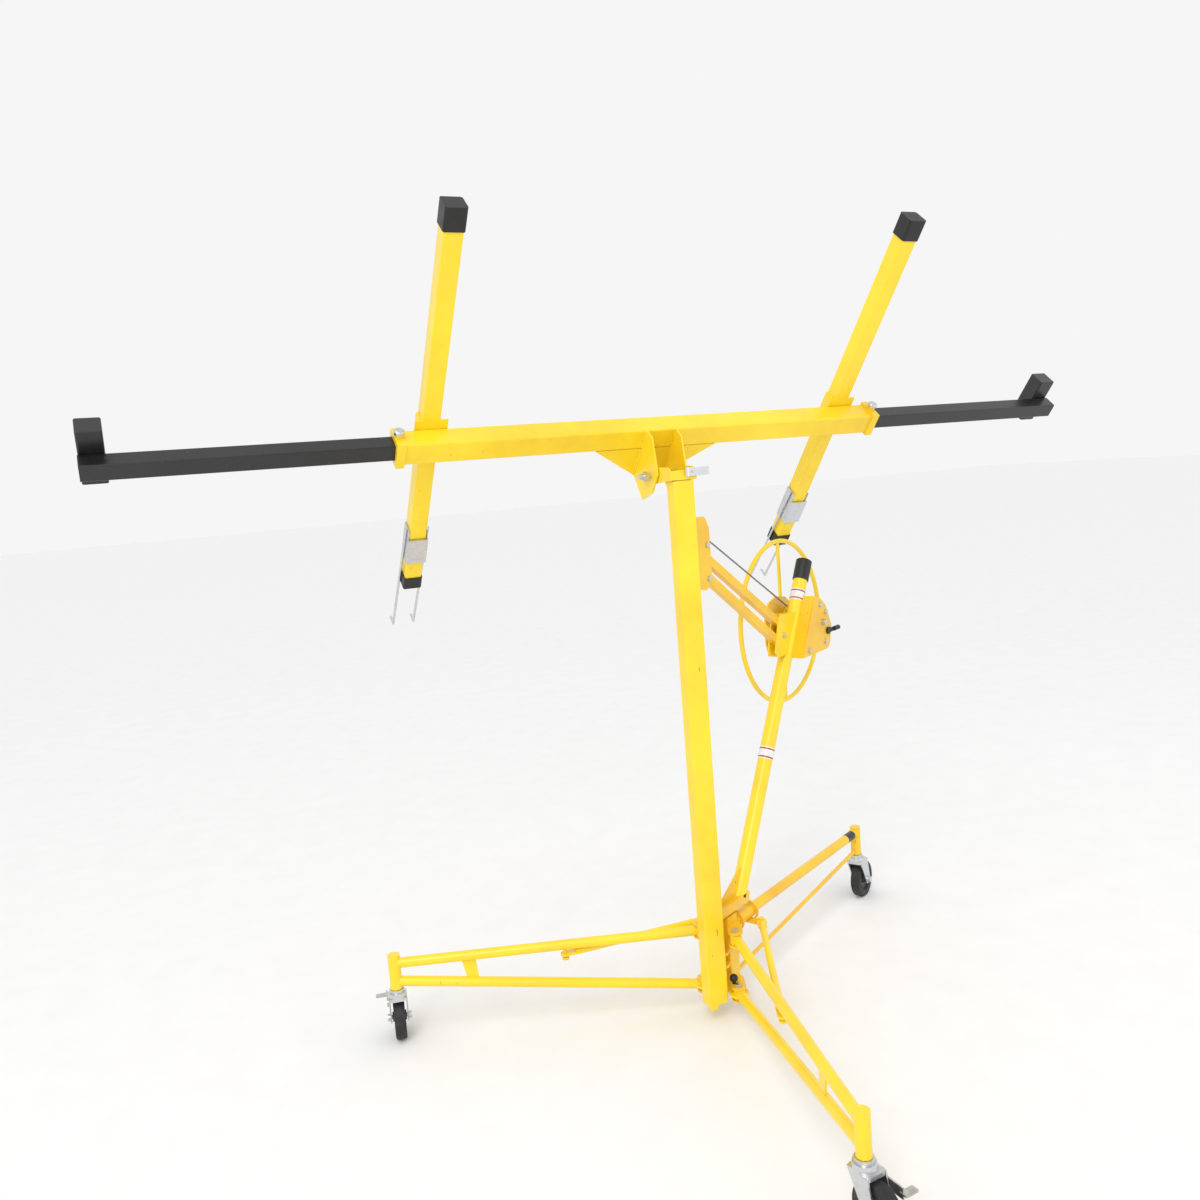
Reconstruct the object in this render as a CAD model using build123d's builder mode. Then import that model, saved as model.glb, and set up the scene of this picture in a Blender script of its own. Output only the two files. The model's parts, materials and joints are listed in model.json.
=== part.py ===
from build123d import *
import math
import os

os.makedirs("parts", exist_ok=True)

# ---------------------------------------------------------------- driving dimensions (mm)
# The origin is under the middle of the whole lift, on the floor. The mast axis stands at (MX, MY).
MX, MY = -10.0, 127.0

# tripod, in its own frame: u across, v towards the single rear leg
HEADING = (0.886, 0.463)              # rear leg direction
BASE_OFF = (112.5, 58.8)              # tripod origin from the mast axis
PIVOT_U, PIVOT_V = 47.0, -98.0        # front leg pivots
STEM_U, STEM_V = 569.0, -577.0        # front caster stems
REAR_V = 639.0                        # rear caster stem
Z_UP, Z_LOW = 192.0, 60.0             # leg eyes
Z_STEM0, Z_STEM1 = 133.0, 213.0       # caster sockets
LEG_R = 11.5
REAR_R = 12.5
REAR_Z = 195.0
SOCKET_R, SOCKET_BORE = 14.0, 8.05

# casters
WHEEL_R, WHEEL_W, TRAIL = 51.0, 26.0, 28.0
CASTERS = {"left": (-STEM_U, STEM_V, 79.0), "right": (STEM_U, STEM_V, 275.0), "rear": (0.0, REAR_V, 30.0)}

# mast sections, width x depth
OUT_W, OUT_D, OUT_T = 50.0, 36.0, 2.0
MID_W, MID_Y0, MID_Y1, MID_T = 42.0, -15.7, 8.3, 2.0
INN_W, INN_Y0, INN_Y1, INN_T = 35.0, -13.2, 5.8, 2.0
MAST_Z0, MAST_Z1 = 41.0, 1232.0

# winch post, leaning back
POST_R = 18.0
POST_V0, POST_Z0 = -1.0, 246.0
POST_V1, POST_Z1 = 423.0, 997.0
WINCH_V, WINCH_Z = 409.0, 838.0
WHEEL_RING_R, WHEEL_TUBE_R, WHEEL_U = 211.0, 6.0, -68.0
DRUM_R = 22.0
CABLE_R = 2.0
PULLEY_R = 22.0
PULLEY_Z = 1118.0

# cradle, tilted about the pivot; u up the board, n away from the board
TILT = 39.9
PIV_Y, PIV_Z = 64.2, 1246.5
BEAM_S, BEAM_T, BEAM_HALF = 50.0, 3.0, 575.0
ARM_X, ARM_W, ARM_TOP, ARM_BOT = 510.0, 38.0, 484.0, -416.0

HOOK_PIN_U, HOOK_PIN_R = -265.0, 3.0

# ---------------------------------------------------------------- frames
hl = math.hypot(*HEADING)
bv = (HEADING[0] / hl, HEADING[1] / hl, 0.0)
bu = (bv[1], -bv[0], 0.0)


def base(u, v, z=0.0):
    return Vector(MX + BASE_OFF[0] + u * bu[0] + v * bv[0], MY + BASE_OFF[1] + u * bu[1] + v * bv[1], z)


def floor_plane(z):
    """Horizontal plane of the tripod, local x across and local y to the rear."""
    return Plane(origin=base(0, 0, z), x_dir=bu, z_dir=(0, 0, 1))


def side_plane(u):
    """Upright plane of the tripod, local x to the rear and local y up; extrudes along +u."""
    return Plane(origin=base(u, 0, 0), x_dir=bv, z_dir=bu)


def mast_plane(z):
    return Plane(origin=(MX, MY, z), x_dir=(1, 0, 0), z_dir=(0, 0, 1))


a_t = math.radians(TILT)
cu = (0.0, -math.sin(a_t), math.cos(a_t))
cn = (0.0, -math.cos(a_t), -math.sin(a_t))
PIVOT = Vector(MX, MY + PIV_Y, PIV_Z)
BC = PIVOT + Vector(*cu) * 51 - Vector(*cn) * 90


def cr(x, u, n):
    return BC + Vector(x, 0, 0) + Vector(*cu) * u + Vector(*cn) * n


def cr_x(x):
    """Section plane of the cradle: local (u, n), extrudes along +X."""
    return Plane(origin=cr(x, 0, 0), x_dir=cu, z_dir=(1, 0, 0))


def cr_n(n):
    """Board-parallel plane of the cradle: local (x, u), extrudes along +n."""
    return Plane(origin=cr(0, 0, n), x_dir=(1, 0, 0), z_dir=cn)


def cr_u(u):
    """Plane across the arms: local (x, -n), extrudes along +u."""
    return Plane(origin=cr(0, u, 0), x_dir=(1, 0, 0), z_dir=cu)


def run(p0, p1, r):
    """Plain round bar between two points."""
    p0, p1 = Vector(*p0), Vector(*p1)
    d = p1 - p0
    with BuildPart() as b:
        with BuildSketch(Plane(origin=p0, z_dir=d)):
            Circle(r)
        extrude(amount=d.length)
    return b.part


def save(builder, name):
    builder.part.label = name
    export_step(builder.part, "parts/" + name + ".step")


# mast outline used to trim the brackets that are welded to it
with BuildPart() as mast_block:
    with BuildSketch(mast_plane(MAST_Z0)):
        Rectangle(OUT_W, OUT_D)
    extrude(amount=MAST_Z1 - MAST_Z0)

# ---------------------------------------------------------------- tripod hub
with BuildPart() as base_hub:
    with BuildSketch(floor_plane(44)):
        with Locations((0, -62)):
            RectangleRounded(40, 40, 4)
            RectangleRounded(34, 34, 2, mode=Mode.SUBTRACT)
    extrude(amount=180)
    with BuildSketch(floor_plane(224)):
        with Locations((0, -62)):
            RectangleRounded(40, 40, 4)
    extrude(amount=3)
    for z in (43.5, 72.5, 175.5, 204.5):
        with BuildSketch(floor_plane(z)):
            for s in (-1, 1):
                with Locations(((s * (22 + PIVOT_U) / 2), (-66 + PIVOT_V) / 2)):
                    SlotOverall(math.hypot(PIVOT_U - 22, PIVOT_V + 66) + 34, 34, rotation=math.degrees(math.atan2(PIVOT_V + 66, s * (PIVOT_U - 22))))
            with Locations((0, -62)):
                Rectangle(34, 34, mode=Mode.SUBTRACT)
            with Locations((-PIVOT_U, PIVOT_V), (PIVOT_U, PIVOT_V)):
                Circle(5, mode=Mode.SUBTRACT)
            if z == 72.5:
                with Locations((-31, -92), (31, -92)):
                    Circle(4.06, mode=Mode.SUBTRACT)
        extrude(amount=4)
    # closing webs of the two clevis pairs
    for z in (47.5, 179.5):
        with BuildSketch(floor_plane(z)):
            with Locations((0, -58)):
                Rectangle(52, 5)
                Rectangle(34, 5, mode=Mode.SUBTRACT)
        extrude(amount=25)
    # two saddle plates that hold the mast
    for z in (118, 148):
        with BuildSketch(floor_plane(z)):
            with BuildLine():
                Polyline((-19, -82), (19, -82), (27, -104), (20, -112), (-24, -126), (-26, -104), close=True)
            make_face()
        extrude(amount=6)
    add(mast_block.part, mode=Mode.SUBTRACT)
save(base_hub, "base_hub")

# rear leg: one tube with its caster socket
with BuildPart() as rear_leg_tube:
    with BuildSketch(Plane(origin=base(0, -42, REAR_Z), z_dir=bv)):
        Circle(REAR_R)
    extrude(amount=REAR_V + 42)
    with BuildSketch(floor_plane(Z_STEM0)):
        with Locations((0, REAR_V)):
            Circle(SOCKET_R)
    extrude(amount=Z_STEM1 - Z_STEM0)
    with BuildSketch(Plane(origin=base(0, -42, REAR_Z), z_dir=bv)):
        Circle(REAR_R - 2)
    extrude(amount=REAR_V + 42 - SOCKET_R, mode=Mode.SUBTRACT)
    with BuildSketch(floor_plane(Z_STEM0)):
        with Locations((0, REAR_V)):
            Circle(SOCKET_BORE)
    extrude(amount=Z_STEM1 - Z_STEM0 - 4, mode=Mode.SUBTRACT)
save(rear_leg_tube, "rear_leg_tube")

# stiffening rod under the rear leg
with BuildPart() as truss_rod:
    add(run(base(0, -41.9, 72), base(0, REAR_V - SOCKET_R + 0.2, 143), 5))
    with BuildSketch(floor_plane(100)):
        with Locations((0, REAR_V)):
            Circle(SOCKET_R)
    extrude(amount=80, mode=Mode.SUBTRACT)
    with BuildSketch(floor_plane(40)):
        with Locations((0, -62)):
            Rectangle(40, 40)
    extrude(amount=80, mode=Mode.SUBTRACT)
save(truss_rod, "truss_rod")

# leg pivot bolts
with BuildPart() as leg_pivot_bolts:
    for s in (-1, 1):
        for z0, z1 in ((43.5, 76.5), (175.5, 208.5)):
            with BuildSketch(floor_plane(z0 - 5)):
                with Locations((s * PIVOT_U, PIVOT_V)):
                    Circle(5)
            extrude(amount=z1 - z0 + 10)
            with BuildSketch(floor_plane(z1)):
                with Locations((s * PIVOT_U, PIVOT_V)):
                    RegularPolygon(8.5, 6)
            extrude(amount=6)
            with BuildSketch(floor_plane(z0 - 7)):
                with Locations((s * PIVOT_U, PIVOT_V)):
                    RegularPolygon(8.5, 6)
            extrude(amount=7)
save(leg_pivot_bolts, "leg_pivot_bolts")

# ---------------------------------------------------------------- front legs
Q_S = 318.0                                     # brace pin along the leg
leg_len = math.hypot(STEM_U - PIVOT_U, STEM_V - PIVOT_V)
COLLAR_V, COLLAR_U = 23.0, 44.0
BRACE_Z0, BRACE_Z1 = 170.0, 186.0               # at the leg, at the collar
for side, s in (("left", -1), ("right", 1)):
    du, dv = s * (STEM_U - PIVOT_U) / leg_len, (STEM_V - PIVOT_V) / leg_len

    def along(t, z, off=0.0):
        return base(s * PIVOT_U + du * t - dv * off, PIVOT_V + dv * t + du * off, z)

    with BuildPart() as leg_upper:
        add(run(along(0, Z_UP), along(leg_len, Z_UP), LEG_R))
        with BuildSketch(floor_plane(Z_UP - 12)):
            with Locations((s * PIVOT_U, PIVOT_V)):
                Circle(13)
        extrude(amount=24)
        with BuildSketch(floor_plane(Z_STEM0)):
            with Locations((s * STEM_U, STEM_V)):
                Circle(SOCKET_R)
        extrude(amount=Z_STEM1 - Z_STEM0)
        # pin and washer under the tube for the brace
        add(run(along(Q_S, Z_UP), along(Q_S, 158), 4))
        add(run(along(Q_S, 162), along(Q_S, 157), 8))
        with BuildSketch(floor_plane(Z_STEM0)):
            with Locations((s * STEM_U, STEM_V)):
                Circle(SOCKET_BORE)
        extrude(amount=Z_STEM1 - Z_STEM0 - 4, mode=Mode.SUBTRACT)
        with BuildSketch(floor_plane(Z_UP - 12)):
            with Locations((s * PIVOT_U, PIVOT_V)):
                Circle(5.05)
        extrude(amount=24, mode=Mode.SUBTRACT)
    save(leg_upper, side + "_leg_upper")

    with BuildPart() as leg_lower:
        add(run(along(0, Z_LOW), along(leg_len, 150), LEG_R))
        with BuildSketch(floor_plane(Z_LOW - 12)):
            with Locations((s * PIVOT_U, PIVOT_V)):
                Circle(13)
        extrude(amount=24)
        # lock plate round the lower eye
        with BuildSketch(floor_plane(Z_LOW - 2.5)):
            with Locations((s * PIVOT_U, PIVOT_V)):
                Circle(23)
        extrude(amount=5)
        # trim to the eye height and the socket
        with BuildSketch(floor_plane(20)):
            with Locations((s * PIVOT_U, PIVOT_V)):
                Circle(34)
        extrude(amount=28, mode=Mode.SUBTRACT)
        with BuildSketch(floor_plane(72)):
            with Locations((s * PIVOT_U, PIVOT_V)):
                Circle(34)
        extrude(amount=20, mode=Mode.SUBTRACT)
        with BuildSketch(floor_plane(Z_STEM0 - 30)):
            with Locations((s * STEM_U, STEM_V)):
                Circle(SOCKET_R)
        extrude(amount=120, mode=Mode.SUBTRACT)
        with BuildSketch(floor_plane(Z_LOW - 13)):
            with Locations((s * PIVOT_U, PIVOT_V)):
                Circle(5.05)
            with Locations((s * 31, -92)):
                Circle(4.4)
        extrude(amount=26, mode=Mode.SUBTRACT)
    # spacer plate between the two tubes
    with BuildPart() as leg_spacer:
        with BuildSketch(Plane(origin=along(leg_len - 190, 0, -2), x_dir=(along(1, 0) - along(0, 0)), z_dir=Vector(*(along(1, 0) - along(0, 0))).cross(Vector(0, 0, 1)))):
            with BuildLine():
                Polyline((0, 120), (24, 120), (40, 192), (6, 192), close=True)
            make_face()
        extrude(amount=2, both=True)
        add(leg_upper.part, mode=Mode.SUBTRACT)
    web = max(leg_spacer.part.solids(), key=lambda q: q.volume)
    with BuildPart() as leg_truss:
        add(leg_lower.part)
        add(web)
    save(leg_truss, side + "_leg_lower")

    # leg lock: pin with a ball knob, lifted to free the leg
    with BuildPart() as leg_lock:
        add(run(base(s * 31, -92, 63.2), base(s * 31, -92, 88), 4))
        with BuildSketch(Plane(origin=base(s * 31, -92, 90), x_dir=bu, z_dir=bv)):
            with BuildLine():
                l1 = ThreePointArc((0, -9.5), (9.5, 0), (0, 9.5))
                Line(l1 @ 1, l1 @ 0)
            make_face()
        revolve(axis=Axis(base(s * 31, -92, 0), (0, 0, 1)))
    save(leg_lock, side + "_leg_lock")

    # brace: round bar with flattened ends
    q0 = along(Q_S, BRACE_Z0)
    q1 = base(s * COLLAR_U, COLLAR_V, BRACE_Z1)
    dq = (q1 - q0).normalized()
    flat_dir = Vector(dq.X, dq.Y, 0).normalized()
    with BuildPart() as brace:
        add(run(q0 + dq * 24, q1 - dq * 20, 8))
        for p, d in ((q0, flat_dir), (q1, flat_dir * -1)):
            with BuildSketch(Plane(origin=p - Vector(0, 0, 2.5), x_dir=d, z_dir=(0, 0, 1))):
                with Locations((16, 0)):
                    SlotOverall(54, 22)
            extrude(amount=5)
        with BuildSketch(Plane(origin=q0 - Vector(0, 0, 6), z_dir=(0, 0, 1))):
            Circle(4.06)
        extrude(amount=12, mode=Mode.SUBTRACT)
        with BuildSketch(Plane(origin=q1 + Vector(0, 0, 2.4), z_dir=(0, 0, 1))):
            RegularPolygon(7.5, 6)
        extrude(amount=5)
    save(brace, side + "_brace")

# sliding collar on the rear tube, with an ear for each brace and two wire hoops
with BuildPart() as brace_collar:
    with BuildSketch(Plane(origin=base(0, -34, REAR_Z), z_dir=bv)):
        Circle(17)
    extrude(amount=86)
    with BuildSketch(floor_plane(BRACE_Z1 - 2.5 - 0.5 - 4)):
        with Locations((0, COLLAR_V)):
            SlotOverall(2 * COLLAR_U + 26, 24)
    extrude(amount=4)
    for v in (-24, 42):
        with BuildSketch(Plane(origin=base(0, v, REAR_Z), z_dir=bv)):
            Circle(25)
            Circle(20, mode=Mode.SUBTRACT)
        extrude(amount=4)
    for v in (-24, 42):
        with BuildSketch(Plane(origin=base(0, v, REAR_Z), x_dir=bu, z_dir=bv)):
            Rectangle(44, 4)
            Circle(16.5, mode=Mode.SUBTRACT)
        extrude(amount=4)
    with BuildSketch(Plane(origin=base(0, -36, REAR_Z), z_dir=bv)):
        Circle(REAR_R + 0.08)
    extrude(amount=90, mode=Mode.SUBTRACT)
save(brace_collar, "brace_collar")

# ---------------------------------------------------------------- casters
for side, (su, sv, ang) in CASTERS.items():
    st = base(su, sv, 0)
    td = Vector(math.cos(math.radians(ang)), math.sin(math.radians(ang)), 0)
    ax = Vector(-td.Y, td.X, 0)                     # axle direction
    hub_c = st + td * TRAIL + Vector(0, 0, WHEEL_R)

    with BuildPart() as caster_fork:
        # stem, bearing cap and crown
        with BuildSketch(Plane(origin=st + Vector(0, 0, 112), z_dir=(0, 0, 1))):
            Circle(8)
        extrude(amount=80)
        with BuildSketch(Plane(origin=st + Vector(0, 0, 124), z_dir=(0, 0, 1))):
            Circle(17)
        extrude(amount=8.5)
        with BuildSketch(Plane(origin=st + Vector(0, 0, 116), z_dir=(0, 0, 1))):
            Circle(22)
        extrude(amount=9, taper=12)
        with BuildSketch(Plane(origin=st + Vector(0, 0, 108), x_dir=td, z_dir=(0, 0, 1))):
            with Locations((4, 0)):
                RectangleRounded(50, 42, 8)
        extrude(amount=8)
        # two cheeks
        for k in (-1, 1):
            with BuildSketch(Plane(origin=st + ax * (k * 19.5), x_dir=td, z_dir=td.cross(Vector(0, 0, 1)))):
                with BuildLine():
                    Polyline((-20, 115), (28, 115), (TRAIL + 14, WHEEL_R), (TRAIL + 9, WHEEL_R - 11), (TRAIL - 9, WHEEL_R - 11), (TRAIL - 14, WHEEL_R), close=True)
                make_face()
            extrude(amount=1.5, both=True)
        # axle bolt with head and nut
        add(run(hub_c - ax * 27, hub_c + ax * 27, 5))
        add(run(hub_c - ax * 28, hub_c - ax * 21, 8.5))
        add(run(hub_c + ax * 21, hub_c + ax * 27, 8.5))
    save(caster_fork, side + "_caster_fork")

    wheel_plane = Plane(origin=hub_c - ax * (WHEEL_W / 2), z_dir=ax)
    with BuildPart() as caster_tyre:
        with BuildSketch(wheel_plane):
            Circle(WHEEL_R)
            Circle(38, mode=Mode.SUBTRACT)
        extrude(amount=WHEEL_W)
        fillet(caster_tyre.edges().filter_by(GeomType.CIRCLE).group_by(SortBy.RADIUS)[-1], 5)

    with BuildPart() as caster_hub:
        with BuildSketch(wheel_plane):
            Circle(38)
        extrude(amount=WHEEL_W)
        for k, pl in ((0, wheel_plane), (1, Plane(origin=hub_c + ax * (WHEEL_W / 2), z_dir=ax * -1))):
            with BuildSketch(pl):
                Circle(32)
                Circle(13, mode=Mode.SUBTRACT)
            extrude(amount=7, mode=Mode.SUBTRACT)
        with BuildSketch(Plane(origin=hub_c - ax * 16, z_dir=ax)):
            Circle(11)
        extrude(amount=32)
        with BuildSketch(Plane(origin=hub_c - ax * 20, z_dir=ax)):
            Circle(5.06)
        extrude(amount=40, mode=Mode.SUBTRACT)
    caster_wheel = Compound(children=[caster_tyre.part.solid(), caster_hub.part.solid()])
    caster_wheel.label = side + "_caster_wheel"
    export_step(caster_wheel, "parts/" + side + "_caster_wheel.step")

    # brake pedal, hinged outside one cheek
    bp = st + ax * 21.4 + td * 20 + Vector(0, 0, 92)
    with BuildPart() as caster_brake:
        with BuildSketch(Plane(origin=bp, x_dir=td, z_dir=td.cross(Vector(0, 0, 1)) * -1)):
            Circle(8)
        extrude(amount=4)
        with BuildSketch(Plane(origin=bp + ax * 1.0, x_dir=td, z_dir=(0, 0, 1))):
            with Locations((20, 1.5)):
                RectangleRounded(44, 3, 1)
        extrude(amount=10, both=True)
        with BuildSketch(Plane(origin=bp + td * 40 + Vector(0, 0, -2), x_dir=td, z_dir=(0, 0, 1))):
            with Locations((2, 14)):
                RectangleRounded(16, 28, 3)
        extrude(amount=3)
    save(caster_brake, side + "_caster_brake")

# ---------------------------------------------------------------- mast
D = Vector(MX, MY + 13.0, 0)                        # cable drop line in the mast
T_end = base(-34, WINCH_V, 0)
h = Vector(T_end.X - D.X, T_end.Y - D.Y, 0).normalized()
hw = h.cross(Vector(0, 0, 1))                       # across the pulley
pul = D + h * PULLEY_R + Vector(0, 0, PULLEY_Z)

with BuildPart() as mast_outer:
    with BuildSketch(mast_plane(MAST_Z0)):
        RectangleRounded(OUT_W, OUT_D, 4)
        RectangleRounded(OUT_W - 2 * OUT_T, OUT_D - 2 * OUT_T, 2, mode=Mode.SUBTRACT)
    extrude(amount=MAST_Z1 - MAST_Z0)
    with BuildSketch(mast_plane(MAST_Z0)):
        Rectangle(OUT_W - 2 * OUT_T - 1, OUT_D - 2 * OUT_T - 1)
    extrude(amount=4)
    # lip under the front corner
    with BuildSketch(mast_plane(MAST_Z0 - 9)):
        with Locations((-OUT_W / 2 + 11, -OUT_D / 2 + 1.5)):
            Rectangle(22, 3)
    extrude(amount=9)
    # slot for the pulley
    with BuildSketch(Plane(origin=pul - hw * 5, x_dir=h, z_dir=hw)):
        Rectangle(2 * PULLEY_R + 9, 2 * PULLEY_R + 12)
    extrude(amount=10, mode=Mode.SUBTRACT)
save(mast_outer, "mast_outer")

with BuildPart() as mast_middle:
    with BuildSketch(mast_plane(62)):
        with Locations((0, (MID_Y0 + MID_Y1) / 2)):
            RectangleRounded(MID_W, MID_Y1 - MID_Y0, 2)
            Rectangle(MID_W - 2 * MID_T, MID_Y1 - MID_Y0 - 2 * MID_T, mode=Mode.SUBTRACT)
    extrude(amount=1168)
    with BuildSketch(mast_plane(62)):
        with Locations((0, (MID_Y0 + MID_Y1) / 2)):
            Rectangle(MID_W - 2 * MID_T, MID_Y1 - MID_Y0 - 2 * MID_T)
    extrude(amount=4)

with BuildPart() as mast_inner:
    with BuildSketch(mast_plane(70)):
        with Locations((0, (INN_Y0 + INN_Y1) / 2)):
            RectangleRounded(INN_W, INN_Y1 - INN_Y0, 2)
            Rectangle(INN_W - 2 * INN_T, INN_Y1 - INN_Y0 - 2 * INN_T, mode=Mode.SUBTRACT)
    extrude(amount=1164)
save(mast_inner, "mast_inner")

# cable anchor at the middle section's foot
with BuildPart() as cable_anchor:
    with BuildSketch(mast_plane(64)):
        with Locations((0, (MID_Y1 + 15.2) / 2)):
            Rectangle(10, 15.2 - MID_Y1)
    extrude(amount=10)
with BuildPart() as mast_middle_welded:
    add(mast_middle.part)
    add(cable_anchor.part)
save(mast_middle_welded, "mast_middle")

with BuildPart() as mast_pulley:
    with BuildSketch(Plane(origin=pul, x_dir=h, z_dir=hw)):
        Circle(PULLEY_R + 2.5)
        Circle(5.06, mode=Mode.SUBTRACT)
    extrude(amount=3, both=True)
    with BuildSketch(Plane(origin=pul, x_dir=hw, z_dir=h)):
        with Locations((0, PULLEY_R)):
            Circle(CABLE_R + 0.15)
        with Locations((0, PULLEY_R + 3)):
            Rectangle(2 * CABLE_R + 0.3, 6)
    revolve(axis=Axis(pul, hw), mode=Mode.SUBTRACT)
save(mast_pulley, "mast_pulley")

# bracket behind the mast that carries the pulley and the winch arms
with BuildPart() as mast_bracket:
    for k in (-24.0, 8.0):
        with BuildSketch(side_plane(k)):
            with BuildLine():
                Polyline((-150, 1000), (-66, 985), (-42, 1002), (-42, 1122), (-56, 1146), (-150, 1146), close=True)
            make_face()
        extrude(amount=4)
    with BuildSketch(side_plane(-24)):
        with BuildLine():
            Polyline((-120, 1146), (-60, 1146), (-60, 1149), (-120, 1149), close=True)
        make_face()
    extrude(amount=36)
    add(mast_block.part, mode=Mode.SUBTRACT)
parts_left = [q for q in mast_bracket.part.solids()]
far = [q for q in parts_left if (q.center() - Vector(MX, MY, q.center().Z)).dot(Vector(*bv)) > 0]
with BuildPart() as mast_bracket:
    for q in far:
        add(q)
save(mast_bracket, "mast_bracket")

# pulley pin between the bracket cheeks
with BuildPart() as pulley_pin:
    add(run(pul - hw * 14, pul + hw * 27, 5))
    add(mast_bracket.part, mode=Mode.SUBTRACT)
    add(mast_outer.part, mode=Mode.SUBTRACT)
pin_body = max(pulley_pin.part.solids(), key=lambda q: q.volume)
with BuildPart() as pulley_pin:
    add(pin_body)

# ---------------------------------------------------------------- winch post and arms
lean = Vector(0, 0, 0) + (base(0, POST_V1, POST_Z1) - base(0, POST_V0, POST_Z0))
post_len = lean.length
ld = lean.normalized()
p_foot = base(0, POST_V0, POST_Z0)
post_solid = run(p_foot - ld * 40, p_foot + ld * (post_len - 28), POST_R)

with BuildPart() as winch_post:
    add(post_solid)
    with BuildSketch(Plane(origin=p_foot + ld * 30, z_dir=ld)):
        Circle(POST_R - 2.5)
    extrude(amount=post_len, mode=Mode.SUBTRACT)
    with BuildSketch(floor_plane(150)):
        with Locations((0, 0)):
            Rectangle(300, 300)
    extrude(amount=104, mode=Mode.SUBTRACT)
save(winch_post, "winch_post")

with BuildPart() as post_cap:
    with BuildSketch(Plane(origin=p_foot + ld * (post_len - 56), z_dir=ld)):
        Circle(POST_R + 2.5)
    extrude(amount=56)
    fillet(post_cap.edges().group_by(Axis(p_foot, ld))[-1], 5)
    with BuildSketch(Plane(origin=p_foot + ld * (post_len - 56), z_dir=ld)):
        Circle(POST_R)
    extrude(amount=28, mode=Mode.SUBTRACT)
save(post_cap, "post_cap")

with BuildPart() as mast_foot_bracket:
    with BuildSketch(side_plane(-17)):
        with BuildLine():
            Polyline((-150, 231), (20, 231), (24, 254), (-150, 254), close=True)
        make_face()
    extrude(amount=34)
    with BuildSketch(side_plane(-3)):
        with BuildLine():
            Polyline((-86, 254), (10, 254), (34, 316), (10, 310), close=True)
        make_face()
    extrude(amount=6)
    add(mast_block.part, mode=Mode.SUBTRACT)
    add(run(p_foot, p_foot + ld * 300, POST_R), mode=Mode.SUBTRACT)
keep = [q for q in mast_foot_bracket.part.solids() if q.volume > 500 and (q.center() - Vector(MX, MY, q.center().Z)).dot(Vector(*bv)) > 0]
with BuildPart() as mast_foot_bracket:
    add(max(keep, key=lambda q: q.volume))
save(mast_foot_bracket, "mast_foot_bracket")
with BuildPart() as winch_post2:
    add(winch_post.part)
    add(mast_foot_bracket.part, mode=Mode.SUBTRACT)
with BuildPart() as winch_post:
    add(max(winch_post2.part.solids(), key=lambda q: q.volume))
save(winch_post, "winch_post")

# plates on the front of the post for the arms
with BuildPart() as post_bracket:
    for k in (-12.0, 8.0):
        with BuildSketch(side_plane(k)):
            with BuildLine():
                Polyline((226, 790), (240, 776), (320, 776), (356, 872), (262, 880), (250, 868), close=True)
            make_face()
        extrude(amount=4)
    add(post_solid, mode=Mode.SUBTRACT)
fr = [q for q in post_bracket.part.solids() if q.volume > 2000]
with BuildPart() as post_bracket:
    for q in fr:
        add(q)
save(post_bracket, "post_bracket")

with BuildPart() as winch_arms:
    for (v0, z0), (v1, z1) in (((-62, 1064), (292, 840)), ((-62, 1022), (280, 796))):
        dd = Vector(v1 - v0, z1 - z0, 0).normalized()
        nx, ny = -dd.Y * 10, dd.X * 10
        with BuildSketch(side_plane(-8)):
            with BuildLine():
                Polyline((v0 + nx, z0 + ny), (v0 - nx, z0 - ny), (v1 - nx, z1 - ny), (v1 + nx, z1 + ny), close=True)
            make_face()
        extrude(amount=16)
    add(post_solid, mode=Mode.SUBTRACT)
save(winch_arms, "winch_arms")

# winch housing: two cheeks, floor and front wall
plate = [(295, 764), (432, 766), (447, 777), (459, 825), (431, 882), (398, 905), (372, 911), (356, 872)]
far_plate = [(300, 764), (432, 766), (447, 777), (459, 825), (431, 882), (398, 905), (350, 912), (312, 900), (290, 874), (288, 800)]
with BuildPart() as winch_housing:
    with BuildSketch(side_plane(45)):
        with BuildLine():
            Polyline(*plate, close=True)
        make_face()
        with Locations((WINCH_V, WINCH_Z)):
            Circle(8.06, mode=Mode.SUBTRACT)
    extrude(amount=4)
    with BuildSketch(side_plane(-52)):
        with BuildLine():
            Polyline(*far_plate, close=True)
        make_face()
        with Locations((WINCH_V, WINCH_Z)):
            Circle(8.06, mode=Mode.SUBTRACT)
    extrude(amount=4)
    with BuildSketch(side_plane(-50)):
        with BuildLine():
            Polyline((300, 764), (432, 766), (432, 770), (300, 768), close=True)
        make_face()
    extrude(amount=97)
    # front wall beside the post
    with BuildSketch(side_plane(12)):
        with BuildLine():
            Polyline((295, 764), (299, 764), (376, 900), (372, 911), close=True)
        make_face()
    extrude(amount=35)
    add(post_solid, mode=Mode.SUBTRACT)
    add(post_bracket.part, mode=Mode.SUBTRACT)
hb = max(winch_housing.part.solids(), key=lambda q: q.volume)
with BuildPart() as winch_housing:
    add(hb)
save(winch_housing, "winch_housing")

with BuildPart() as winch_drum:
    with BuildSketch(side_plane(-46)):
        with Locations((WINCH_V, WINCH_Z)):
            Circle(DRUM_R)
            Circle(8.0, mode=Mode.SUBTRACT)
    extrude(amount=24)
    for k in (-46, -24):
        with BuildSketch(side_plane(k)):
            with Locations((WINCH_V, WINCH_Z)):
                Circle(42)
                Circle(8.0, mode=Mode.SUBTRACT)
        extrude(amount=2)
save(winch_drum, "winch_drum")

with BuildPart() as ratchet_wheel:
    with BuildSketch(side_plane(28)):
        with Locations((WINCH_V, WINCH_Z)):
            Circle(30)
            with PolarLocations(31, 12):
                Circle(4, mode=Mode.SUBTRACT)
            Circle(8.0, mode=Mode.SUBTRACT)
    extrude(amount=8)
save(ratchet_wheel, "ratchet_wheel")

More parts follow.
